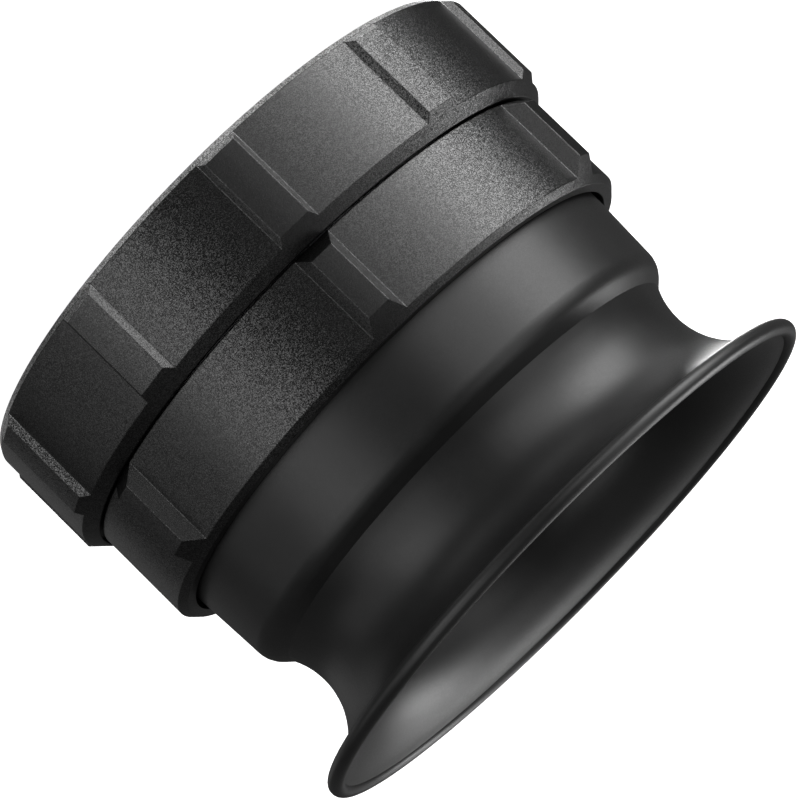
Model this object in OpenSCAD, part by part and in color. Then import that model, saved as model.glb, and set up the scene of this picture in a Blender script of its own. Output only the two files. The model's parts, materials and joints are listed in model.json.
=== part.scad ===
// Telescope eyepiece with a captive coupling ring, a focus ring and a sliding rubber eyecup.
// Millimetres. The origin is on the optical axis in the plane of the coupling ring's rear face,
// and +Z points to the eye.

/* [Coupling ring] */
// Wall between the thread's bore and the ring's land
thread_wall = 2.2; // [1.9:0.1:3]
// Number of ribs
coupling_ribs = 10; // [6:2:16]
// Height of a rib above the land
coupling_rib_h = 0.65; // [0.4:0.05:1]
// Width of a rib's flat top
coupling_rib_top_w = 3.3; // [2.4:0.1:4.5]
// Run of a rib's sloped flank
coupling_flank = 0.44; // [0.3:0.02:1]
// Chamfer at the ring's front edge
coupling_front_chamfer = 1.05; // [0.6:0.05:1.1]
// Radial step of the chamfer at the rear edge
coupling_rear_step = 0.3; // [0.2:0.05:0.6]
// Length of the chamfer at the rear edge
coupling_rear_run = 0.54; // [0.3:0.02:0.8]
// Length of the thread behind its lead-in
thread_len = 5.5; // [4.5:0.1:6.5]
// Lead-in chamfer of the thread
thread_lead = 0.4; // [0.2:0.1:0.6]
// Radial depth of the run-out groove behind the thread
thread_relief = 0.3; // [0.2:0.05:0.5]
// Wall between the front recess and the front chamfer
recess_wall = 0.15; // [0.1:0.05:0.4]

/* [Housing] */
// Distance from the thread's end to the flange
socket_gap = 0.5; // [0.3:0.1:1]
// Radial play of the flange in the coupling thread's bore
flange_play = 0.4; // [0.3:0.1:0.8]
// Width of the flange outside the neck, which brings the bore to the M54 x 0.75 thread
collar_w = 3.7; // [3:0.1:4.2]
// Thickness of the flange
flange_t = 1.9; // [1.7:0.1:2.2]
// Thickness of the coupling ring's web
web_t = 2.5; // [2:0.1:2.6]
// Wall of the barrel
barrel_wall = 1.55; // [1.3:0.05:1.7]
// Depth of the barrel's step under the eyecup mount
nose_step = 0.5; // [0.3:0.05:0.7]
// Step from the barrel's bore to the filter thread, an M28.5 x 0.6 internal thread
filter_step = 2.1; // [1.6:0.05:2.4]
// Length of the filter thread
filter_len = 3.2; // [2.6:0.1:3.6]
// Wire radius of the flange seal
seal_wire = 0.6; // [0.4:0.05:0.6]
// Distance from the neck to the flange seal's middle line
seal_offset = 1.2; // [0.8:0.1:2.4]

/* [Stops and washers] */
// Width of the field stop inside the filter thread
stop_lip = 2.45; // [1.5:0.05:4]
// Thickness of the field stop
stop_t = 0.5; // [0.3:0.05:0.7]
// Thickness of the ring that holds the field stop
stop_ring_t = 1.4; // [1:0.1:1.6]
// Thickness of the washer behind the coupling ring's web
collar_washer_t = 0.3; // [0.2:0.05:0.5]
// Thickness of the snap ring in front of the web
snap_t = 0.6; // [0.4:0.05:0.6]
// Depth of the snap ring's groove
snap_depth = 0.6; // [0.4:0.05:0.8]
// Height of the snap ring above the neck
snap_rise = 1.5; // [1:0.1:2]
// Depth of the snap ring inside the coupling ring's front edge
snap_cover = 0.15; // [0.1:0.05:0.8]
// Thickness of the washer behind the cam sleeve
cam_washer_t = 0.2; // [0.15:0.05:0.3]
// Width of the washer behind the cam sleeve
cam_washer_w = 4.8; // [4:0.1:5.4]
// Height of the waved drag washer
drag_t = 0.3; // [0.2:0.05:0.5]

/* [Focus ring] */
// Wall between the ring's bore and its land
focus_wall = 1.63; // [1.5:0.01:2.5]
// Length of the ring
focus_len = 10.2; // [9.4:0.05:11]
// Gap between the two rings
ring_gap = 0.1; // [0.1:0.05:0.4]
// Number of ribs
focus_ribs = 6; // [4:2:10]
// Height of a rib above the land
focus_rib_h = 1.38; // [0.6:0.02:1.5]
// Width of a rib's flat top
focus_rib_top_w = 2.3; // [1.6:0.1:3.5]
// Run of a rib's sloped flank
focus_flank = 0.78; // [0.4:0.02:1.2]
// Run of the slope at each end of a rib
focus_rib_end = 1.3; // [0.8:0.05:2]
// Chamfer at the ring's front edge
focus_front_chamfer = 0.62; // [0.3:0.02:0.9]
// Chamfer at the ring's rear edge
focus_rear_chamfer = 0.1; // [0.08:0.02:0.3]
// Turn of the ring each way from the middle, in degrees
focus_turn = 25; // [15:1:32]
// Travel of the lens cell each way from the middle
cell_travel = 2; // [1.2:0.1:2.2]

/* [Cam sleeve] */
// Wall of the sleeve
cam_wall = 1.5; // [1.2:0.05:1.55]
// Thickness of the flange that carries the focus ring
cam_flange_t = 1.6; // [1.4:0.05:1.8]
// Width of the focus ring's seat on the cam flange
cam_seat = 0.6; // [0.4:0.05:0.7]
// Radius of the guide pins
pin_r = 1; // [0.8:0.05:1.1]
// Radius of the focus ring's set screw
screw_r = 0.7; // [0.5:0.05:0.75]

/* [Lens cell] */
// Radius of the lenses, from which all the other radii are stacked
lens_r = 13; // [12:0.1:14]
// Wall of the cell
cell_wall = 2.95; // [2.2:0.05:3.2]
// Radius of the cemented surfaces
cement_curve = 30; // [28:1:60]
// Radius of the inner convex surfaces
crown_curve = 40; // [36:1:80]
// Middle thickness of a flint
flint_t = 1; // [0.8:0.1:1.2]
// Edge thickness of a crown
crown_edge = 0.4; // [0.3:0.05:0.6]
// Air gap between the two crowns
crown_gap = 0.5; // [0.3:0.05:0.8]
// Thickness of the cell's rear lip and of its threaded ring
cell_lip = 0.6; // [0.5:0.05:0.8]
// Width by which lips, spacer and rings overlap a lens
lens_grip = 1.1; // [0.8:0.1:1.6]
// Wire radius of the cell seal
cell_seal_wire = 0.48; // [0.35:0.01:0.55]

/* [Eyecup mount] */
// Wall of the mount
mount_wall = 1.55; // [1.4:0.05:1.55]
// Thickness of the mount's inner flange
mount_flange_t = 1.6; // [1.4:0.1:1.8]
// Thickness of the ring that clamps the mount
mount_ring_t = 2.2; // [1.8:0.1:2.4]
// Width of the ring that clamps the mount
mount_ring_w = 3.3; // [2.5:0.1:3.6]
// Radius of the eyecup's key pins
key_r = 0.8; // [0.6:0.05:0.85]
// Wall of the eyecup tube behind its key pins
key_edge = 0.4; // [0.3:0.05:0.5]
// Depth of the key slots
key_depth = 0.85; // [0.6:0.05:0.95]
// Wire radius of the click spring
click_wire = 0.33; // [0.25:0.01:0.38]

/* [Eyecup] */
// Travel of the eyecup from down to up
eyecup_travel = 6; // [4:0.5:6]
// Wall of the eyecup tube
tube_wall = 1.95; // [1.6:0.05:2]
// Rim of the eyecup tube in front of the bowl's floor
tube_rim = 1; // [0.6:0.1:1.2]
// Thickness of the bowl's floor
floor_t = 1; // [0.8:0.1:1.1]
// Wall of the rubber on the tube
skirt_wall = 2.3; // [2:0.05:3]
// Gap between the skirt and the focus ring
skirt_gap = 0.45; // [0.2:0.05:0.6]
// Narrowing of the skirt from the focus ring to the shoulder
skirt_draft = 0.38; // [0.2:0.02:0.6]
// Height of the shoulder's corner above the tube, before its rounding
shoulder_rise = 0.77; // [0.6:0.05:1.6]
// Radius of the shoulder's rounding
shoulder_fillet = 2.47; // [1.5:0.1:3]
// Slope of the shoulder's front, in degrees
shoulder_slope = 46.8; // [40:0.5:60]
// Overhang of the bowl's throat over the tube's bore
throat_step = 0.07; // [0.05:0.01:0.4]
// Wall of the rubber at the throat
throat_wall = 1.57; // [1.2:0.05:2]
// Height of the throat above the tube
throat_rise = 5.2; // [4:0.1:6]
// Height of the neck's smallest radius above the throat
neck_rise = 0.5; // [0.2:0.1:1.2]
// Distance from the throat out to the lip's edge
lip_reach = 8.26; // [7.5:0.05:9]
// Height of the bead's middle above the throat
bead_rise = 8.18; // [7:0.1:9.5]
// Radius of the lip's bead
bead_r = 0.76; // [0.6:0.02:1]
// Wall of the rubber where it meets the bead
lip_wall = 0.56; // [0.4:0.02:0.7]

/* [Fits] */
// Radial clearance of turning and sliding fits
run_gap = 0.05; // [0.03:0.01:0.08]
// Clearance between end faces that turn or slide on each other
face_gap = 0.05; // [0.03:0.01:0.08]
// Clearance between pieces that never touch
free_gap = 0.3; // [0.25:0.05:0.35]

/* [Hidden] */
$fn = 180;

METAL = "#26272a";
RUBBER = "#161617";
BARE = "#b8b9bb";
GLASS = "#8fb0a6";

// Pieces cut or joined through a face run past it by this much
past = 0.5;
// Each pattern of ribs has one rib on -Y
rib_start = -90;
// Angles of the guide pins, and of the key pins between them
pin_angles = [30, 150, 270];
key_angles = [90, 210, 330];
// The set screw sits on a land between two ribs
screw_angle = 180 / focus_ribs - rib_start;
// Opening of the snap ring and of the click spring, in degrees
ring_opening = 24;

// Heights, stacked from the coupling ring's rear face
thread_end = thread_lead + thread_len;
flange_rear = thread_end + socket_gap;
flange_front = flange_rear + flange_t;
web_rear = flange_front + collar_washer_t + face_gap;
web_front = web_rear + web_t;
snap_rear = web_front + face_gap;
snap_front = snap_rear + snap_t;
coupling_len = snap_front + snap_cover;
neck_front = coupling_len + free_gap;
focus_rear = coupling_len + ring_gap;
focus_front = focus_rear + focus_len;
cam_rear = neck_front + cam_washer_t + face_gap;
cam_flange_front = cam_rear + cam_flange_t;
screw_z = cam_rear + cam_flange_t / 2;
slot_half = pin_r + run_gap;
cam_front = focus_front;
pin_z = (cam_flange_front + cam_front) / 2;
drag_rear = cam_front + face_gap;
mount_seat = drag_rear + drag_t;
mount_rear = cam_flange_front + free_gap + face_gap;
mount_front = mount_seat + mount_flange_t;
nose_front = mount_front + mount_ring_t + free_gap;
stop_seat = flange_rear + filter_len;
stop_front = stop_seat + stop_t;
stop_ring_front = stop_front + stop_ring_t;
click_z = mount_front - 2 * click_wire;
eyecup_rear = cam_flange_front + 2 * free_gap + face_gap;
key_z = eyecup_rear + key_edge + key_r;
floor_rear = nose_front + 2 * free_gap;
tube_front = floor_rear + floor_t + tube_rim;
shoulder_z = tube_front + shoulder_rise;
throat_z = tube_front + throat_rise;
neck_z = throat_z + neck_rise;
bead_z = throat_z + bead_rise;

// Radii, stacked from the lenses outwards
cell_seat = lens_r + run_gap;
cell_r = cell_seat + cell_wall;
barrel_bore = cell_r + run_gap;
filter_r = barrel_bore - filter_step;
stop_r = filter_r - stop_lip;
barrel_r = barrel_bore + barrel_wall;
nose_r = barrel_r - nose_step;
cam_bore = barrel_r + run_gap;
cam_r = cam_bore + cam_wall;
mount_bore = cam_r + free_gap;
mount_r = mount_bore + mount_wall;
key_floor = mount_r - key_depth;
tube_bore = mount_r + run_gap;
tube_r = tube_bore + tube_wall;
skirt_r = tube_r + skirt_wall;
focus_bore = skirt_r + skirt_gap;
focus_r = focus_bore + focus_wall;
cam_flange_r = focus_bore + cam_seat - run_gap;
neck_r = cam_bore + cam_washer_w + run_gap;
flange_r = neck_r + collar_w;
seal_r = neck_r + seal_offset;
thread_r = flange_r + flange_play;
coupling_r = thread_r + thread_wall;
throat_r = tube_bore - throat_step;
neck_min_r = throat_r + throat_wall;
lip_r = throat_r + lip_reach;
shoulder_r = skirt_r - skirt_draft;

// Lenses
cement_sag = cement_curve - sqrt(pow(cement_curve, 2) - pow(lens_r, 2));
crown_sag = crown_curve - sqrt(pow(crown_curve, 2) - pow(lens_r, 2));
flint_edge = flint_t + cement_sag;
doublet_edge = flint_edge + crown_edge;
doublet_len = doublet_edge + crown_sag;
spacer_rise = sqrt(pow(crown_curve, 2) - pow(lens_r - lens_grip, 2)) + crown_sag - crown_curve;
cell_rear = stop_ring_front + cell_travel + face_gap + free_gap;
lens_rear = cell_rear + cell_lip;
lens_front = lens_rear + 2 * doublet_len + crown_gap;
cell_front = lens_front + cell_lip + free_gap;
pin_root = lens_r + (cell_r - lens_r) / 3;
cell_seal_z = nose_front - cell_travel - 2 * cell_seal_wire;

// Eyecup outline: the walls of the neck and bowl end inside the bead
bead_mid_r = lip_r - bead_r;
wall_end_r = bead_mid_r - bead_r * 0.63;
skirt_taper = atan((skirt_r - shoulder_r) / (shoulder_z - focus_front));

// Radius of the arc that leaves [r0, z0] parallel to the axis and reaches [r1, z1]
function flare(r0, z0, r1, z1) = (pow(r1 - r0, 2) + pow(z1 - z0, 2)) / (2 * (r1 - r0));

// Points of an arc about mid
function arc(mid, r, from, to, steps) =
    [for (i = [0:steps]) let(a = from + (to - from) * i / steps) mid + r * [cos(a), sin(a)]];

// Solid or ring turned from an outline of [radius, height] points
module turned(outline) {
    rotate_extrude()
        polygon(outline);
}

// Plain ring
module ring(r_in, r_out, z0, z1) {
    turned([[r_in, z0], [r_out, z0], [r_out, z1], [r_in, z1]]);
}

// Round wire bent into a ring, open by a gap where one is given
module wire_ring(mid_r, wire, z, opening = 0) {
    translate([0, 0, z])
        rotate([0, 0, opening / 2])
            rotate_extrude(angle = 360 - opening)
                translate([mid_r, 0])
                    circle(r = wire, $fn = 32);
}

// Round rod along a radius
module radial_rod(angle, z, r, from, to) {
    rotate([0, 0, angle])
        translate([from, 0, z])
            rotate([0, 90, 0])
                cylinder(r = r, h = to - from, $fn = 48);
}

// Slot along the axis, cut through a wall from one radius to another
module straight_slot(angle, half, z0, z1, from, to) {
    radial_rod(angle, z0, half, from, to);
    radial_rod(angle, z1, half, from, to);
    rotate([0, 0, angle])
        translate([from, -half, z0])
            cube([to - from, 2 * half, z1 - z0]);
}

// Round-ended slot along a helix that falls by rise, each side of its middle, over a given turn
module helical_slot(angle, half, z, turn, rise, from, to, steps = 10, end_steps = 4) {
    mid = (from + to) / 2;
    climb = atan(rise / (mid * turn * PI / 180));
    reach = rise / sin(climb);
    // Distance along the slot and half width of each section
    ends = [for (k = [1:end_steps]) let(c = 80 * k / end_steps)
        [reach + half * sin(c), half * cos(c)]];
    stations = concat(
        [for (k = [end_steps - 1:-1:0]) [-ends[k][0], ends[k][1]]],
        [for (i = [0:steps]) [reach * (2 * i / steps - 1), half]],
        ends);
    function corner(s, r, side) =
        let(a = angle + (s[0] * cos(climb) + side * s[1] * sin(climb)) / mid * 180 / PI)
        [r * cos(a), r * sin(a), z - s[0] * sin(climb) + side * s[1] * cos(climb)];
    last = 4 * (len(stations) - 1);
    sides = [for (i = [0:4:last - 4], k = [0:3]) let(m = (k + 1) % 4)
        each [[i + k, i + m, i + 4 + m], [i + k, i + 4 + m, i + 4 + k]]];
    caps = [[0, 3, 2], [0, 2, 1], [last, last + 1, last + 2], [last, last + 2, last + 3]];
    polyhedron(faces = concat(sides, caps), points = [for (s = stations)
        each [corner(s, from, -1), corner(s, to, -1), corner(s, to, 1), corner(s, from, 1)]]);
}

// Raised ribs with sloped flanks around a land, before their ends are cut
module ribs(count, land_r, rib_h, top_w, flank, z0, z1) {
    root = land_r - past;
    root_w = top_w + 2 * flank * (rib_h + past) / rib_h;
    for (i = [0:count - 1])
        rotate([0, 0, rib_start + i * 360 / count])
            translate([0, 0, z0])
                linear_extrude(z1 - z0)
                    polygon([[root, -root_w / 2], [land_r + rib_h, -top_w / 2],
                        [land_r + rib_h, top_w / 2], [root, root_w / 2]]);
}

// Notches for a pin spanner across a ring's front face
module spanner_notches(r, z, width = 1.6, depth = 0.8) {
    for (i = [0:1])
        rotate([0, 0, 90 * i])
            translate([-r, -width / 2, z - depth])
                cube([2 * r, width, depth + past]);
}

// Aluminium housing: flange, neck and slotted barrel in one piece
module housing() {
    color(METAL)
    difference() {
        turned([[filter_r, flange_rear], [flange_r, flange_rear], [flange_r, flange_front],
            [neck_r, flange_front], [neck_r, snap_rear], [neck_r - snap_depth, snap_rear],
            [neck_r - snap_depth, snap_front], [neck_r, snap_front], [neck_r, neck_front],
            [barrel_r, neck_front], [barrel_r, mount_seat], [nose_r, mount_seat],
            [nose_r, nose_front], [barrel_bore, nose_front], [barrel_bore, stop_seat],
            [filter_r, stop_seat]]);
        ring(seal_r - seal_wire - run_gap, seal_r + seal_wire + run_gap,
            flange_rear - past, flange_rear + 1.5 * seal_wire);
        for (a = pin_angles)
            straight_slot(a, slot_half, pin_z - cell_travel, pin_z + cell_travel,
                barrel_bore - past, barrel_r + past);
    }
}

// Field stop, seated on the step behind the barrel's bore
module field_stop() {
    color(METAL)
        ring(stop_r, barrel_bore - run_gap, stop_seat, stop_front);
}

// Threaded ring that holds the field stop
module field_stop_ring() {
    color(METAL)
    difference() {
        ring(filter_r - run_gap, barrel_bore, stop_front, stop_ring_front);
        spanner_notches(barrel_bore, stop_ring_front, depth = stop_ring_t / 2);
    }
}

// O-ring in the flange's rear face
module flange_seal() {
    color(RUBBER)
        wire_ring(seal_r, seal_wire, flange_rear + seal_wire / 2 - run_gap);
}

// Slip washer between flange and coupling ring
module collar_washer() {
    color(BARE)
        ring(neck_r + run_gap, flange_r - run_gap, flange_front, flange_front + collar_washer_t);
}

// Open snap ring that keeps the coupling ring on the neck
module collar_snap_ring() {
    inner = neck_r - snap_depth;
    outer = neck_r + snap_rise;
    color(BARE)
    rotate([0, 0, ring_opening / 2])
        rotate_extrude(angle = 360 - ring_opening)
            translate([inner, snap_rear])
                square([outer - inner, snap_t]);
}

// Slip washer between the neck and the cam sleeve
module cam_washer() {
    color(BARE)
        ring(cam_bore, neck_r - run_gap, neck_front, neck_front + cam_washer_t);
}

// Waved washer between the cam sleeve and the eyecup mount, pressed nearly flat
module drag_washer() {
    color(BARE)
        ring(cam_bore, cam_r, drag_rear, mount_seat);
}

// Guide sleeve of the eyecup, clamped on the barrel's nose
module eyecup_mount() {
    color(METAL)
    difference() {
        turned([[mount_bore, mount_rear], [mount_r, mount_rear], [mount_r, mount_front],
            [nose_r, mount_front], [nose_r, mount_seat], [mount_bore, mount_seat]]);
        for (a = key_angles)
            straight_slot(a, key_r + run_gap, key_z, key_z + eyecup_travel, key_floor, mount_r + past);
        ring(mount_r - 2 * click_wire - run_gap, mount_r + past,
            click_z - click_wire - run_gap, click_z + click_wire + run_gap);
    }
}

// Threaded ring that clamps the eyecup mount
module mount_ring() {
    color(METAL)
    difference() {
        ring(nose_r, nose_r + mount_ring_w, mount_front, mount_front + mount_ring_t);
        spanner_notches(nose_r + mount_ring_w + past, mount_front + mount_ring_t);
    }
}

// Open wire spring for the eyecup's click stops
module click_spring() {
    color(BARE)
        wire_ring(mount_r - click_wire, click_wire, click_z, ring_opening);
}

// Captive coupling ring with ten ribs
module coupling_ring() {
    land_front = coupling_len - coupling_front_chamfer;
    tip_r = coupling_r + coupling_rib_h;
    recess_r = coupling_r - coupling_front_chamfer - recess_wall;
    color(METAL)
    difference() {
        intersection() {
            union() {
                cylinder(r = coupling_r, h = coupling_len);
                ribs(coupling_ribs, coupling_r, coupling_rib_h, coupling_rib_top_w, coupling_flank,
                    0, coupling_len);
            }
            turned([[0, 0], [coupling_r - coupling_rear_step, 0], [coupling_r, coupling_rear_run],
                [tip_r, coupling_rear_run + coupling_rib_h], [tip_r, land_front - coupling_rib_h],
                [tip_r - coupling_rib_h - coupling_front_chamfer, coupling_len], [0, coupling_len]]);
        }
        turned([[0, -past], [thread_r + thread_lead + past, -past], [thread_r, thread_lead],
            [thread_r, thread_end], [thread_r + thread_relief, thread_end],
            [thread_r + thread_relief, web_rear], [neck_r + run_gap, web_rear],
            [neck_r + run_gap, web_front], [recess_r, web_front], [recess_r, coupling_len + past],
            [0, coupling_len + past]]);
    }
}

// Focus ring with six ribs, seated on the cam sleeve's flange
module focus_ring() {
    tip_r = focus_r + focus_rib_h;
    land_rear = focus_rear + focus_rear_chamfer;
    land_front = focus_front - focus_front_chamfer;
    color(METAL)
    difference() {
        intersection() {
            translate([0, 0, focus_rear])
                union() {
                    cylinder(r = focus_r, h = focus_len);
                    ribs(focus_ribs, focus_r, focus_rib_h, focus_rib_top_w, focus_flank,
                        0, focus_len);
                }
            turned([[0, focus_rear], [focus_r - focus_rear_chamfer, focus_rear], [focus_r, land_rear],
                [tip_r, land_rear + focus_rib_end], [tip_r, land_front - focus_rib_end],
                [focus_r, land_front], [focus_r - focus_front_chamfer, focus_front],
                [0, focus_front]]);
        }
        turned([[0, focus_rear - past], [cam_flange_r, focus_rear - past],
            [cam_flange_r, cam_flange_front], [focus_bore, cam_flange_front],
            [focus_bore, focus_front + past], [0, focus_front + past]]);
        set_screw_shape(focus_r + past);
    }
}

// Screw with a dog point, out to a given radius
module set_screw_shape(head_r) {
    radial_rod(screw_angle, screw_z, screw_r, cam_flange_r, head_r);
    radial_rod(screw_angle, screw_z, screw_r * 0.6, cam_flange_r - 2 * screw_r, cam_flange_r + past);
}

// Cam sleeve with three helical slots that drive the guide pins
module cam_sleeve() {
    color(METAL)
    difference() {
        turned([[cam_bore, cam_rear], [cam_flange_r, cam_rear], [cam_flange_r, cam_flange_front],
            [cam_r, cam_flange_front], [cam_r, cam_front], [cam_bore, cam_front]]);
        for (a = pin_angles)
            helical_slot(a, slot_half, pin_z, focus_turn, cell_travel,
                cam_bore - past, cam_r + past);
        set_screw_shape(focus_r);
    }
}

// Set screw through the focus ring into the cam sleeve's flange, with a hexagon socket
module ring_set_screw() {
    color(BARE)
    difference() {
        set_screw_shape(focus_r - screw_r / 4);
        rotate([0, 0, screw_angle])
            translate([focus_r - 1.2 * screw_r, 0, screw_z])
                rotate([0, 90, 0])
                    cylinder(r = screw_r * 0.6, h = 2 * screw_r, $fn = 6);
    }
}

// Tube that holds the lenses and slides in the barrel
module lens_cell() {
    color(METAL)
    difference() {
        turned([[lens_r - lens_grip, cell_rear], [cell_r, cell_rear], [cell_r, cell_front],
            [cell_seat + free_gap, cell_front], [cell_seat, cell_front - free_gap],
            [cell_seat, lens_rear], [lens_r - lens_grip, lens_rear]]);
        ring(cell_r - 2 * cell_seal_wire - run_gap, cell_r + past,
            cell_seal_z - cell_seal_wire - run_gap, cell_seal_z + cell_seal_wire + run_gap);
        for (a = pin_angles)
            radial_rod(a, pin_z, pin_r, pin_root, cell_r + past);
    }
}

// Pins from the cell through the barrel's slots and the cam's slots
module guide_pins() {
    color(BARE)
        for (a = pin_angles)
            radial_rod(a, pin_z, pin_r, pin_root, cam_r - run_gap);
}

// O-ring between lens cell and barrel
module cell_seal() {
    color(RUBBER)
        wire_ring(cell_r - cell_seal_wire, cell_seal_wire, cell_seal_z);
}

// Flint of a doublet, flat behind and hollow in front
module flint() {
    difference() {
        cylinder(r = lens_r, h = flint_edge);
        translate([0, 0, flint_t + cement_curve])
            sphere(r = cement_curve);
    }
}

// Crown of a doublet, bulging both ways and seated in the flint
module crown() {
    intersection() {
        cylinder(r = lens_r, h = doublet_len + past);
        translate([0, 0, flint_t + cement_curve])
            sphere(r = cement_curve);
        translate([0, 0, doublet_len - crown_curve])
            sphere(r = crown_curve);
    }
}

// Rear doublet
module field_flint() {
    color(GLASS, 0.5)
        translate([0, 0, lens_rear])
            flint();
}

module field_crown() {
    color(GLASS, 0.5)
        translate([0, 0, lens_rear])
            crown();
}

// Spacer whose inner edges bear on the two crowns
module lens_spacer() {
    reach_in = doublet_edge + spacer_rise;
    color(METAL)
        ring(lens_r - lens_grip, lens_r, lens_rear + reach_in, lens_front - reach_in);
}

// Front doublet, the rear one turned about
module eye_crown() {
    color(GLASS, 0.5)
        translate([0, 0, lens_front])
            mirror([0, 0, 1])
                crown();
}

module eye_flint() {
    color(GLASS, 0.5)
        translate([0, 0, lens_front])
            mirror([0, 0, 1])
                flint();
}

// Threaded ring that holds the lenses in the cell
module cell_ring() {
    color(METAL)
    difference() {
        ring(lens_r - lens_grip, cell_seat, lens_front, lens_front + cell_lip);
        spanner_notches(cell_seat, lens_front + cell_lip, depth = cell_lip / 2);
    }
}

// Sleeve that carries the rubber, with the floor of the bowl
module eyecup_tube() {
    floor_r = cell_r + 2 * free_gap;
    color(METAL)
    difference() {
        turned([[tube_bore, eyecup_rear], [tube_r, eyecup_rear], [tube_r, tube_front],
            [tube_bore, tube_front], [tube_bore, floor_rear + floor_t],
            [floor_r, floor_rear + floor_t], [floor_r, floor_rear], [tube_bore, floor_rear]]);
        for (a = key_angles)
            radial_rod(a, key_z, key_r, tube_bore - past, tube_r + past);
        for (step = [0:2])
            translate([0, 0, click_z - step * eyecup_travel / 2])
                turned([[tube_bore - past, -click_wire - past], [tube_bore + click_wire / 2, 0],
                    [tube_bore - past, click_wire + past]]);
    }
}

// Key pins that run in the mount's slots
module key_pins() {
    color(BARE)
        for (a = key_angles)
            radial_rod(a, key_z, key_r, key_floor + run_gap, tube_r - run_gap);
}

// Half section of the rubber: skirt, rounded shoulder, hollow neck, bowl and beaded lip
module eyecup_outline() {
    wall_rear = bead_z - lip_wall / 2;
    wall_front = bead_z + lip_wall / 2;
    neck_arc = flare(neck_min_r, neck_z, wall_end_r, wall_rear);
    bowl_arc = flare(throat_r, throat_z, wall_end_r, wall_front);
    tangent = shoulder_fillet * tan((shoulder_slope - skirt_taper) / 2);
    fillet_mid = [shoulder_r + tangent * sin(skirt_taper) - shoulder_fillet * cos(skirt_taper),
        shoulder_z - tangent * cos(skirt_taper) - shoulder_fillet * sin(skirt_taper)];
    mid_r = (tube_bore + neck_min_r) / 2;
    polygon(concat(
        [[tube_r, eyecup_rear], [skirt_r - free_gap, eyecup_rear],
            [skirt_r, eyecup_rear + free_gap], [skirt_r, focus_front]],
        arc(fillet_mid, shoulder_fillet, skirt_taper, shoulder_slope, 14),
        [[mid_r, shoulder_z + (shoulder_r - mid_r) / tan(shoulder_slope)], [mid_r, tube_front],
            [tube_r, tube_front]]));
    difference() {
        union() {
            translate([tube_bore, tube_front])
                square([tube_r - tube_bore, throat_z - tube_front]);
            intersection() {
                translate([throat_r + bowl_arc, throat_z])
                    circle(r = bowl_arc);
                translate([throat_r - past, shoulder_z])
                    square([wall_end_r - throat_r + past, wall_front - shoulder_z]);
            }
        }
        translate([neck_min_r + neck_arc, neck_z])
            circle(r = neck_arc);
    }
    translate([bead_mid_r, bead_z])
        circle(r = bead_r);
}

// Rubber eyecup
module rubber_eyecup() {
    color(RUBBER)
        rotate_extrude()
            eyecup_outline();
}

housing();
field_stop();
field_stop_ring();
flange_seal();
collar_washer();
collar_snap_ring();
cam_washer();
drag_washer();
eyecup_mount();
mount_ring();
click_spring();
coupling_ring();
focus_ring();
cam_sleeve();
ring_set_screw();
lens_cell();
guide_pins();
cell_seal();
field_flint();
field_crown();
lens_spacer();
eye_crown();
eye_flint();
cell_ring();
eyecup_tube();
key_pins();
rubber_eyecup();
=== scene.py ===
"""Telescope eyepiece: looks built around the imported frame. Metres, in the row frame."""
import json
import math
import bmesh
import bpy
from mathutils import Matrix, Vector


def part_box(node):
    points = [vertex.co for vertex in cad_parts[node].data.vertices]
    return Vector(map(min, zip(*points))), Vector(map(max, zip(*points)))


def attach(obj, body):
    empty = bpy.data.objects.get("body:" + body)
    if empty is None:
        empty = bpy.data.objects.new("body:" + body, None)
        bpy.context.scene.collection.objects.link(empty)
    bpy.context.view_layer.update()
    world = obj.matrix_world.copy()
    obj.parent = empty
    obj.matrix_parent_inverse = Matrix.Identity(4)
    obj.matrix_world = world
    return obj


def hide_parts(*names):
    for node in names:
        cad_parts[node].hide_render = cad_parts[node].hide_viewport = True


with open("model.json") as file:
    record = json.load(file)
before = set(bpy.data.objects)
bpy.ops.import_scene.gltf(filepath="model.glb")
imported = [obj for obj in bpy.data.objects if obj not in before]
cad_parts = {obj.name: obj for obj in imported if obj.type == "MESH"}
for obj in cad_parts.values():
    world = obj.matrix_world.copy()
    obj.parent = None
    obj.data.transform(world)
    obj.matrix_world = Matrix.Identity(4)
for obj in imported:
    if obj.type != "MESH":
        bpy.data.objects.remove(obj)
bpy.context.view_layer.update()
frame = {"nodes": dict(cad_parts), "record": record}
MM = 0.001
scene = bpy.context.scene


# ---------------------------------------------------------------- camera
AZIMUTH, ELEVATION, ROLL = -81.44, 10.21, 134.30  # degrees
CAMERA_PLACE = (0.01534, -0.01507, 0.42573)  # right, up and back from the origin
FOCAL_LENGTH, SENSOR_WIDTH = 212.2, 36.0  # millimetres


def camera_axes(azimuth, elevation, roll):
    """Right, up and backward directions of a rolled camera."""
    a, e, r = (math.radians(x) for x in (azimuth, elevation, roll))
    back = Vector((math.cos(e) * math.cos(a), math.cos(e) * math.sin(a), math.sin(e)))
    level = Vector((-math.sin(a), math.cos(a), 0))
    lift = back.cross(level)
    right = level * math.cos(r) + lift * math.sin(r)
    return right, back.cross(right), back


RIGHT, UP, BACK = camera_axes(AZIMUTH, ELEVATION, ROLL)


def in_camera_axes(x, y, z):
    """Vector that goes x to the camera's right, y up and z back."""
    return RIGHT * x + UP * y + BACK * z


def add_camera():
    """Rolled camera with a long lens, which sees the whole part from slightly in front of its side."""
    data = bpy.data.cameras.new("camera")
    data.sensor_fit = "HORIZONTAL"
    data.sensor_width = SENSOR_WIDTH
    data.lens = FOCAL_LENGTH
    data.clip_start, data.clip_end = 0.01, 20
    camera = bpy.data.objects.new("camera", data)
    turn = Matrix((RIGHT, UP, BACK)).transposed().to_4x4()
    camera.matrix_world = Matrix.Translation(in_camera_axes(*CAMERA_PLACE)) @ turn
    scene.collection.objects.link(camera)
    scene.camera = camera


add_camera()


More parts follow.
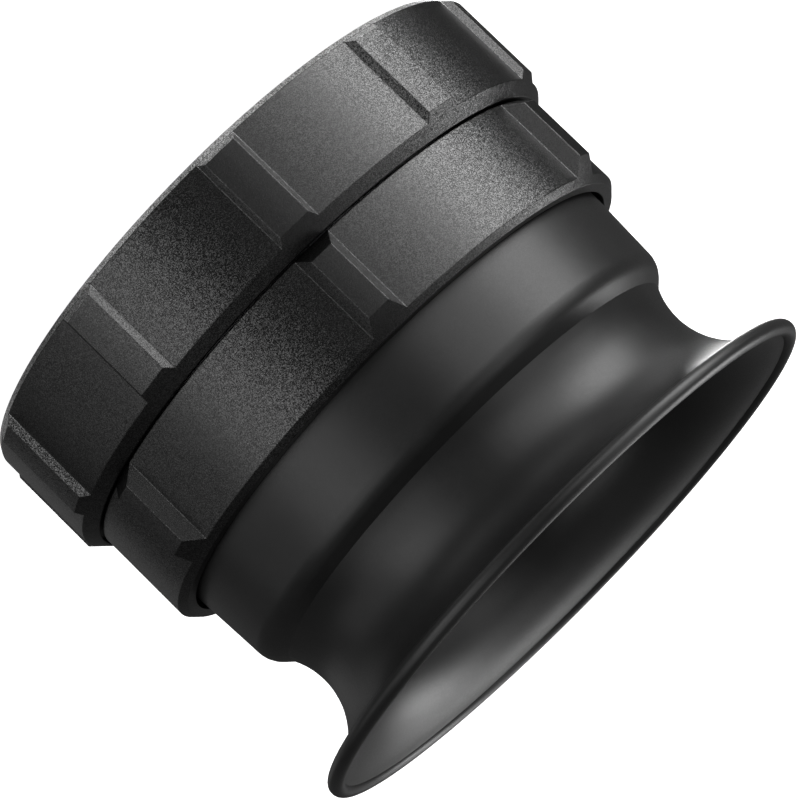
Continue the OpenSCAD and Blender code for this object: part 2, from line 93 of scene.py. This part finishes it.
# ---------------------------------------------------------------- studio
CENTRE = Vector((0, 0, 0.022))
LAMP_DISTANCE = 0.70
WORLD_STRENGTH = 0.06

# Name, direction from the centre as x, y and z in the camera's axes, width, height and watts
SOFTBOXES = (
    ("key", 0.40, 0.90, 0.14, 0.44, 0.44, 3.7),
    ("top_front", 0.28, 0.66, 0.70, 0.50, 0.60, 1.55),
    ("top_rear", 0.04, 0.84, -0.54, 0.36, 0.36, 0.28),
    ("top_left", -0.45, 0.84, 0.00, 0.30, 0.30, 0.27),
    ("left_high", -0.85, 0.50, 0.05, 0.30, 0.30, 0.22),
    ("back_edge", -0.12, 0.32, -0.94, 0.24, 0.24, 1.8),
    ("right_rim", 0.93, -0.15, -0.33, 0.26, 0.28, 1.7),
    ("right_high", 0.78, 0.57, 0.24, 0.28, 0.28, 0.60),
    ("right_low", 0.91, -0.34, 0.18, 0.34, 0.34, 0.35),
    ("right_rear", 0.74, -0.46, -0.49, 0.28, 0.32, 0.85),
    ("right_front", 0.79, 0.11, 0.61, 0.30, 0.40, 0.45),
    ("left_front", -0.76, -0.10, 0.62, 0.40, 0.40, 0.85),
    ("left_low", -0.84, -0.54, 0.05, 0.40, 0.40, 0.20),
    ("low_front", -0.38, -0.54, 0.75, 0.54, 0.54, 1.05),
    ("low_right", 0.35, -0.85, 0.40, 0.40, 0.40, 0.08),
    ("left_rear", -0.60, -0.20, -0.77, 0.40, 0.40, 0.10),
)


def softbox(name, x, y, z, width, height, power):
    """Area light that faces the centre and that the camera doesn't see."""
    towards = in_camera_axes(x, y, z).normalized()
    light = bpy.data.lights.new(name, "AREA")
    light.shape = "RECTANGLE"
    light.size, light.size_y = width, height
    light.energy = power
    lamp = bpy.data.objects.new(name, light)
    lamp.rotation_mode = "QUATERNION"
    lamp.rotation_quaternion = towards.to_track_quat("Z", "Y")
    lamp.location = CENTRE + towards * LAMP_DISTANCE
    lamp.visible_camera = False
    scene.collection.objects.link(lamp)


def add_world():
    """Faint, even, white light from all round."""
    world = bpy.data.worlds.new("studio")
    world.use_nodes = True
    background = world.node_tree.nodes["Background"]
    background.inputs["Color"].default_value = (1, 1, 1, 1)
    background.inputs["Strength"].default_value = WORLD_STRENGTH
    scene.world = world


for settings in SOFTBOXES:
    softbox(*settings)
add_world()
scene.view_settings.view_transform = "Standard"


# ---------------------------------------------------------------- shader nodes
class Shader:
    """A new node material with a Principled shader, and short ways to add nodes."""

    def __init__(self, name, color, metallic, roughness, **sockets):
        self.material = bpy.data.materials.new(name)
        self.material.use_nodes = True
        self.tree = self.material.node_tree
        self.main = self.tree.nodes["Principled BSDF"]
        self.set(Base_Color=(*color, 1), Metallic=metallic, Roughness=roughness, **sockets)
        surface = self.node("TexCoord")
        self.place = surface.outputs["Object"]
        self.facing = surface.outputs["Normal"]

    def set(self, **sockets):
        """Give sockets of the main shader one value all over the surface."""
        for socket, value in sockets.items():
            self.main.inputs[socket.replace("_", " ")].default_value = value

    def feed(self, socket, value):
        """Let a node's output set a socket of the main shader."""
        self.tree.links.new(value, self.main.inputs[socket])

    def node(self, kind, **values):
        """A new node, with values for its inputs and its own settings."""
        n = self.tree.nodes.new("ShaderNode" + kind)
        for key, value in values.items():
            if key in n.inputs:
                n.inputs[key].default_value = value
            else:
                setattr(n, key, value)
        return n

    def fill(self, sockets, values):
        """Link each value that is a node's output to its socket, and set the others."""
        for socket, value in zip(sockets, values):
            if isinstance(value, bpy.types.NodeSocket):
                self.tree.links.new(value, socket)
            else:
                socket.default_value = value

    def vector(self, operation, *values):
        """Vector maths on outputs and fixed values."""
        n = self.node("VectorMath", operation=operation)
        self.fill(n.inputs, values)
        return n.outputs["Value" if operation in ("LENGTH", "DISTANCE") else "Vector"]

    def math(self, operation, *values):
        """Maths on outputs and fixed values."""
        n = self.node("Math", operation=operation)
        self.fill(n.inputs, values)
        return n.outputs["Value"]

    def product(self, first, *others):
        """All the given outputs multiplied."""
        for other in others:
            first = self.math("MULTIPLY", first, other)
        return first

    def parts(self, vector):
        """The x, y and z of a vector, or the three channels of a colour."""
        n = self.node("SeparateXYZ")
        self.fill(n.inputs, [vector])
        return n.outputs["X"], n.outputs["Y"], n.outputs["Z"]

    def ramp(self, value, low, high, to_low=0.0, to_high=1.0):
        """Value from to_low to to_high while the given one goes from low to high."""
        n = self.node("MapRange", **{"From Min": low, "From Max": high,
                                     "To Min": to_low, "To Max": to_high})
        self.fill([n.inputs["Value"]], [value])
        return n.outputs["Result"]

    def mixed(self, factor, first, second):
        """Blend of two colours, each an output or three numbers."""
        n = self.node("Mix", data_type="RGBA")
        colors = [c if isinstance(c, bpy.types.NodeSocket) else (*c, 1) for c in (first, second)]
        self.fill([n.inputs["Factor"], n.inputs["A"], n.inputs["B"]], [factor, *colors])
        return n.outputs["Result"]

    def speckled(self, random_value, low, high, greys):
        """Grey from the first to the second while the random value goes from low to high."""
        dark, light = greys
        return self.mixed(self.ramp(random_value, low, high), (dark,) * 3, (light,) * 3)

    def noise(self, scale, detail, roughness):
        """Soft noise through the part, with scale as its waves per metre."""
        n = self.node("TexNoise", Scale=scale, Detail=detail, Roughness=roughness)
        self.fill([n.inputs["Vector"]], [self.place])
        return n.outputs["Fac"]

    def grains(self, size):
        """A random colour for each grain of the given size, the same all over the grain."""
        n = self.node("TexVoronoi", Scale=1 / size)
        self.fill([n.inputs["Vector"]], [self.place])
        return n.outputs["Color"]

    def bump(self, height, distance, strength):
        """Normal of a surface with the given height as its relief."""
        n = self.node("Bump", Distance=distance, Strength=strength)
        self.fill([n.inputs["Height"]], [height])
        return n.outputs["Normal"]

    def tilted(self, normal, random_color, amount):
        """Normal that leans from the given one by a random amount for each grain."""
        lean = self.vector("SUBTRACT", random_color, (0.5, 0.5, 0.5))
        leaning = self.vector("MULTIPLY_ADD", lean, (amount,) * 3, normal)
        return self.vector("NORMALIZE", leaning)

    def from_axis(self):
        """Vector that goes straight from the optical axis to the surface."""
        return self.vector("MULTIPLY", self.place, (1, 1, 0))


# ---------------------------------------------------------------- where a finish or a painted highlight applies
EDGE = 0.01 * MM  # over which a mask fades
FLANK_LEAN = (0.30, 0.42)  # how far a surface leans sideways where a rib's flank starts
CONE_LEAN = (-0.35, -0.30)  # z of the normal where the rear cone ends
REAR_FACE_LEAN = (-0.95, -0.90)  # z of the normal where the rear face ends
RIB_REACH = 60.0  # height that the cone may have on a rib, for each metre that the rib stands out


def flanks(s):
    """1 where the surface leans sideways round the axis, as on a rib's flanks, and 0 elsewhere."""
    outwards = s.vector("NORMALIZE", s.from_axis())
    lean = s.vector("ABSOLUTE", s.vector("CROSS_PRODUCT", outwards, s.facing))
    return s.ramp(s.parts(lean)[2], *FLANK_LEAN)


def rear_rim_highlight(s, land_r, width):
    """1 on the cone that is cut round the rear of a ring and through its ribs, and 0 elsewhere.

    The lands count as the cone up to the given width. The mask places a painted highlight that stands
    in for the light the rim catches.
    """
    radius = s.vector("LENGTH", s.from_axis())
    height, lean = s.parts(s.place)[2], s.parts(s.facing)[2]
    stands_out = s.math("MAXIMUM", s.math("SUBTRACT", radius, land_r), 0.0)
    limit = s.math("MULTIPLY_ADD", stands_out, RIB_REACH, width)
    behind = s.ramp(s.math("SUBTRACT", height, limit), -EDGE, EDGE, 1, 0)
    on_cone = s.ramp(lean, *CONE_LEAN, 1, 0)
    on_land = s.ramp(radius, land_r + 2 * EDGE, land_r + 3 * EDGE, 1, 0)
    off_rear_face = s.ramp(lean, *REAR_FACE_LEAN)
    off_bore = s.ramp(radius, land_r - 0.5 * MM, land_r - 0.4 * MM)
    return s.product(behind, s.math("MAXIMUM", on_cone, on_land), off_rear_face, off_bore)


def on_sphere(s, center_z, radius):
    """1 where the surface lies on a sphere centred on the optical axis, and 0 elsewhere."""
    away = s.vector("DISTANCE", s.place, (0, 0, center_z))
    return s.math("COMPARE", away, radius, 4 * EDGE)


# ---------------------------------------------------------------- materials
RING_ROUGHNESS = 0.36
BLAST_GRAIN = 0.065 * MM
BLAST_TILT = 0.22
BLAST_GLOSS = 0.06  # how far a grain's roughness strays
EDGE_WEAR = 0.15 * MM  # radius to which the edges of the rings look rounded
LAND_GREYS = (0.033, 0.123)
FLANK_GREYS = (0.035, 0.16)
# Near-white greys of the painted highlight on the coupling ring's rear rim, in place of the light it
# catches
RIM_HIGHLIGHT_GREYS = (0.12, 0.95)
LAND_R = 28.8 * MM  # of the coupling ring
# How far from the rear the painted rim highlight reaches over the lands
RIM_HIGHLIGHT_WIDTH = 0.50 * MM

SKIN_GRAIN = 0.08 * MM
SKIN_TILT = 0.03
SKIN_GLOSS = 0.04
SKIN_RELIEF = 0.04 * MM

TURNING_PITCH = 0.18 * MM
TURNING_DEPTH = 0.004 * MM

GLASS_INDEX = 1.52
GLASS_COAT = 0.5
FLINT_MIDDLE = 1.0 * MM
CEMENT_CURVE = 30.0 * MM


def grained_black(name, rim_highlight=False):
    """Bead-blasted and anodised aluminium: each grain has its own tint, gloss and tilt.

    The ribs' flanks are a little lighter. The rim, where there is one, gets a painted highlight:
    near-white speckled greys in place of the light it catches.
    """
    s = Shader(name, (0.05, 0.05, 0.05), 1.0, RING_ROUGHNESS)
    grains = s.grains(BLAST_GRAIN)
    tint, gloss, sparkle = s.parts(grains)
    color = s.mixed(flanks(s), s.speckled(tint, 0.35, 1.0, LAND_GREYS),
                    s.speckled(tint, 0.2, 1.0, FLANK_GREYS))
    # Painted highlight: the rear cone and a strip of the lands behind it get near-white speckled greys
    # that stand in for light
    if rim_highlight:
        color = s.mixed(rear_rim_highlight(s, LAND_R, RIM_HIGHLIGHT_WIDTH), color,
                        s.speckled(sparkle, 0.2, 0.9, RIM_HIGHLIGHT_GREYS))
    s.feed("Base Color", color)
    s.feed("Roughness", s.ramp(gloss, 0.0, 1.0, RING_ROUGHNESS - BLAST_GLOSS,
                               RING_ROUGHNESS + BLAST_GLOSS))
    rounded = s.node("Bevel", Radius=EDGE_WEAR, samples=4).outputs["Normal"]
    s.feed("Normal", s.tilted(rounded, grains, BLAST_TILT))
    return s.material


def moulded_rubber(name, dark, light, roughness):
    """Smooth moulded rubber: faint bloom, soft unevenness and very fine skin grain."""
    s = Shader(name, dark, 0.0, roughness)
    bloom = s.noise(140.0, 4.0, 0.6)
    s.feed("Base Color", s.mixed(s.ramp(bloom, 0.35, 0.75), dark, light))
    grains = s.grains(SKIN_GRAIN)
    s.feed("Roughness", s.ramp(s.parts(grains)[0], 0.0, 1.0, roughness - SKIN_GLOSS,
                               roughness + SKIN_GLOSS))
    s.feed("Normal", s.tilted(s.bump(bloom, SKIN_RELIEF, 0.25), grains, SKIN_TILT))
    return s.material


def turned_metal(name, color, metallic, roughness):
    """Lathe-turned material: fine rings about the axis with a little wander in gloss."""
    s = Shader(name, color, metallic, roughness)
    along = s.math("ADD", s.vector("LENGTH", s.from_axis()), s.parts(s.place)[2])
    rings = s.node("TexNoise", noise_dimensions="1D", Scale=1 / TURNING_PITCH, Detail=3.0)
    s.fill([rings.inputs["W"]], [along])
    lines = rings.outputs["Fac"]
    s.feed("Roughness", s.ramp(s.noise(220.0, 3.0, 0.5), 0.3, 0.7, roughness - 0.05,
                               roughness + 0.08))
    darker = [c * 0.85 for c in color]
    lighter = [min(1.0, c * 1.15) for c in color]
    s.feed("Base Color", s.mixed(s.ramp(lines, 0.3, 0.7), darker, lighter))
    s.feed("Normal", s.bump(lines, TURNING_DEPTH, 0.8))
    return s.material


def coated_glass(name):
    """Polished glass with a thin coating that tints its gloss.

    Where a flint and a crown are cemented, light goes straight on and nothing shines.
    """
    s = Shader(name, (0.99, 1.0, 0.995), 0.0, 0.02, Transmission_Weight=1.0, IOR=GLASS_INDEX,
               Coat_Weight=GLASS_COAT, Coat_Roughness=0.02, Coat_Tint=(0.90, 0.99, 0.95, 1))
    rear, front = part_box("field_flint")[0][2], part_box("eye_flint")[1][2]
    to_center = FLINT_MIDDLE + CEMENT_CURVE
    joined = s.math("MAXIMUM", on_sphere(s, rear + to_center, CEMENT_CURVE),
                    on_sphere(s, front - to_center, CEMENT_CURVE))
    s.feed("IOR", s.ramp(joined, 0.0, 1.0, GLASS_INDEX, 1.0))
    s.feed("Coat Weight", s.ramp(joined, 0.0, 1.0, GLASS_COAT, 0.0))
    haze = s.ramp(s.noise(400.0, 3.0, 0.5), 0.3, 0.7)
    s.feed("Base Color", s.mixed(haze, (0.975, 0.99, 0.985), (0.99, 1.0, 0.995)))
    return s.material


def pale_floor(name):
    """Plain pale floor that glows as bright as a lit white sweep."""
    return Shader(name, (0.9, 0.9, 0.9), 0.0, 0.9, Emission_Color=(1, 1, 1, 1),
                  Emission_Strength=1.0).material


# The coupling ring's rear rim carries the painted highlight
COUPLING = grained_black("coupling_anodised", rim_highlight=True)
RING = grained_black("ring_anodised")
INNER = turned_metal("inner_anodised", (0.012, 0.012, 0.013), 0.0, 0.55)
RUBBER = moulded_rubber("eyecup_rubber", (0.009, 0.009, 0.009), (0.015, 0.015, 0.015), 0.39)
SEAL = moulded_rubber("seal_rubber", (0.015, 0.015, 0.016), (0.028, 0.028, 0.030), 0.55)
SLIP = turned_metal("slip_polymer", (0.70, 0.68, 0.62), 0.0, 0.50)
SPRING = turned_metal("spring_steel", (0.52, 0.52, 0.53), 1.0, 0.30)
SCREW = turned_metal("blackened_steel", (0.03, 0.03, 0.032), 0.8, 0.40)
BRASS = turned_metal("pin_brass", (0.70, 0.53, 0.27), 1.0, 0.28)
LENS = coated_glass("coated_glass")

# The nodes that aren't here are turned and black inside the part.
NODE_MATERIAL = {
    "coupling_ring": COUPLING, "focus_ring": RING, "rubber_eyecup": RUBBER,
    "flange_seal": SEAL, "cell_seal": SEAL, "collar_washer": SLIP, "cam_washer": SLIP,
    "drag_washer": SPRING, "collar_snap_ring": SPRING, "click_spring": SPRING,
    "ring_set_screw": SCREW, "guide_pins": BRASS, "key_pins": BRASS,
    "field_flint": LENS, "field_crown": LENS, "eye_crown": LENS, "eye_flint": LENS,
}
for node, obj in frame["nodes"].items():
    obj.data.materials.clear()
    obj.data.materials.append(NODE_MATERIAL.get(node, INNER))


# ---------------------------------------------------------------- threads
STEPS_PER_TURN = 96
GROOVE_MOUTH, GROOVE_ROOT = 0.80, 0.06  # half widths of the cutter, as shares of the pitch
CREASE = math.radians(20)  # edges sharper than this stay crisp


def helix_cutter(radius, depth, pitch, start, end):
    """Solid with a thread's groove as its section, wound along the axis from start to end."""
    steps = round((end - start) / pitch * STEPS_PER_TURN)
    inside, outside = radius - depth, radius + depth
    section = ((inside, -pitch * GROOVE_MOUTH), (outside, -pitch * GROOVE_ROOT),
               (outside, pitch * GROOVE_ROOT), (inside, pitch * GROOVE_MOUTH))
    n = len(section)
    verts, faces = [], []
    for i in range(steps + 1):
        angle = math.tau * i / STEPS_PER_TURN
        z = start + pitch * i / STEPS_PER_TURN
        verts += [(r * math.cos(angle), r * math.sin(angle), z + dz) for r, dz in section]
    for i in range(steps):
        a, b = i * n, (i + 1) * n
        faces += [(a + k, b + k, b + (k + 1) % n, a + (k + 1) % n) for k in range(n)]
    faces += [tuple(range(n - 1, -1, -1)), tuple(range(steps * n, (steps + 1) * n))]
    mesh = bpy.data.meshes.new("groove")
    mesh.from_pydata(verts, [], faces)
    cutter = bpy.data.objects.new("groove", mesh)
    scene.collection.objects.link(cutter)
    return cutter


def weld(mesh, distance):
    """Join the vertices that lie within a distance and drop the faces without an area."""
    shape = bmesh.new()
    shape.from_mesh(mesh)
    bmesh.ops.remove_doubles(shape, verts=shape.verts, dist=distance)
    bmesh.ops.dissolve_degenerate(shape, edges=shape.edges, dist=distance)
    shape.to_mesh(mesh)
    shape.free()


def cut_away(piece, cutter):
    """Mesh of a piece without what the cutter takes from it. The cutter is used up."""
    cut = piece.modifiers.new("cut", "BOOLEAN")
    cut.operation, cut.solver, cut.object = "DIFFERENCE", "EXACT", cutter
    bpy.context.view_layer.update()
    shown = piece.evaluated_get(bpy.context.evaluated_depsgraph_get())
    mesh = bpy.data.meshes.new_from_object(shown)
    piece.modifiers.clear()
    bpy.data.objects.remove(cutter)
    return mesh


def threaded(node, body, radius, depth, pitch, start, end):
    """Copy of a CAD node with a real thread cut into its bore, which stands for the node."""
    source = frame["nodes"][node]
    piece = source.copy()
    piece.data = source.data.copy()
    piece.name = node + "_threaded"
    weld(piece.data, 0.001 * MM)
    scene.collection.objects.link(piece)
    mesh = cut_away(piece, helix_cutter(radius, depth, pitch, start, end))
    # The CAD's normals no longer fit the cut faces, so they go and creases take their place.
    if "custom_normal" in mesh.attributes:
        mesh.attributes.remove(mesh.attributes["custom_normal"])
    weld(mesh, 0.0001 * MM)
    mesh.shade_smooth()
    mesh.set_sharp_from_angle(angle=CREASE)
    piece.data = mesh
    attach(piece, body)
    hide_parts(node)


BORE = {mount["name"]: mount["dims"]["r_mm"] * MM
        for mount in frame["record"]["mounts"] if "r_mm" in mount["dims"]}
threaded("coupling_ring", "coupling_body", BORE["coupling_thread"],
         depth=0.28 * MM, pitch=0.75 * MM, start=-0.9 * MM, end=6.15 * MM)
threaded("housing", "housing_body", BORE["filter_thread"],
         depth=0.24 * MM, pitch=0.60 * MM, start=5.6 * MM, end=9.9 * MM)


# ---------------------------------------------------------------- floor
FLOOR_SIZE = 8
FLOOR_DROP = 0.2 * MM  # keeps it off the part's lowest face

bpy.ops.mesh.primitive_plane_add(size=FLOOR_SIZE, location=(0, 0, -FLOOR_DROP))
floor = bpy.context.object
floor.name = "floor"
floor.data.materials.append(pale_floor("floor_pale"))
floor.visible_glossy = False
floor.visible_diffuse = False
floor.visible_shadow = False
